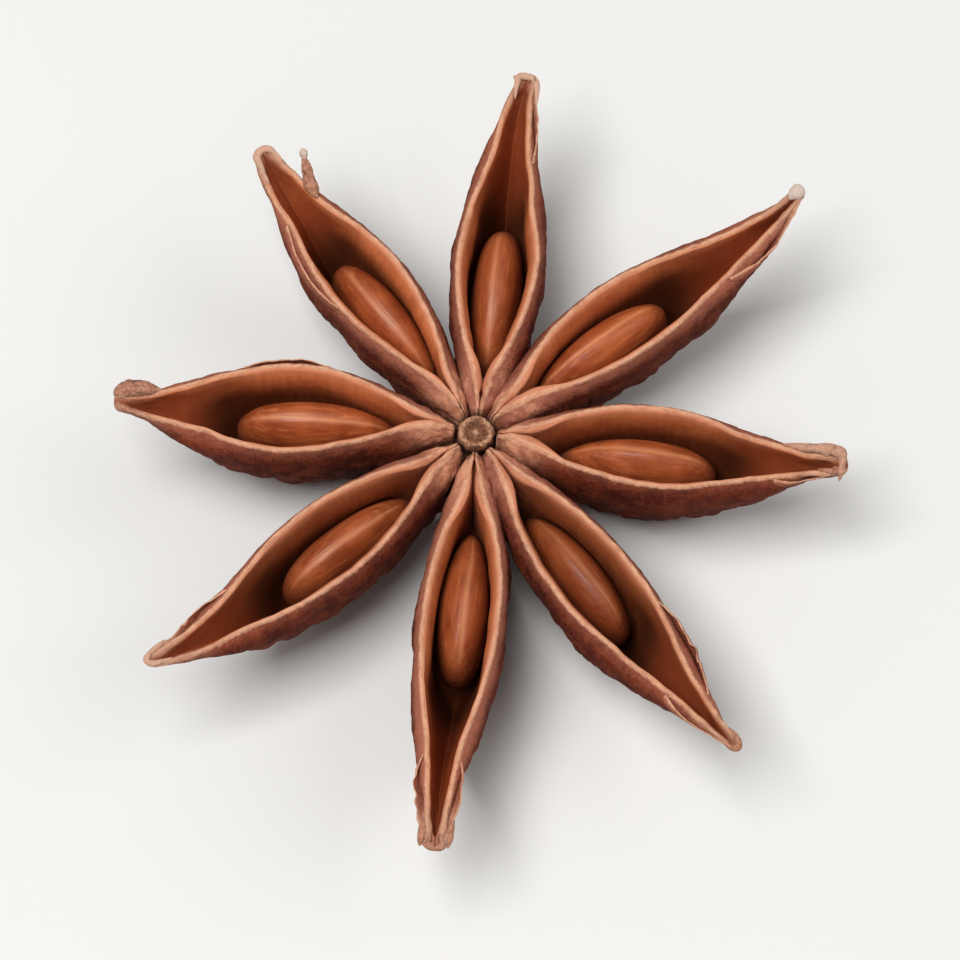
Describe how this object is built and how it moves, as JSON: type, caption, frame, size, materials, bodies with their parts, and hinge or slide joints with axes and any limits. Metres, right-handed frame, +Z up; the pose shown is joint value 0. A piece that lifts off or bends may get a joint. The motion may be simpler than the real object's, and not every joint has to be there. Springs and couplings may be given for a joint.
{
  "type": "star anise pod",
  "caption": "Dried star-shaped spice pod: boat-shaped arms round a small hub, each split along its top over a flat shiny seed.",
  "frame": {"origin": "middle of the pod's box in plan, on the plane that its keels rest on", "axes": "+Z up through the hub, out of the split side; +Y along the longer diameter of the star, away from its longest arm"},
  "size_m": [0.0316, 0.0354, 0.0082],
  "materials": {
    "husk": "dry and matt outside, smooth and satin inside the splits",
    "seed_coat": "smooth, hard and shiny, caramel brown"
  },
  "bodies": {
    "root": {"pod": "husk", "seed_1": "seed_coat", "seed_2": "seed_coat", "seed_3": "seed_coat", "seed_4": "seed_coat", "seed_5": "seed_coat", "seed_6": "seed_coat", "seed_7": "seed_coat", "seed_8": "seed_coat"}
  },
  "joints": []
}
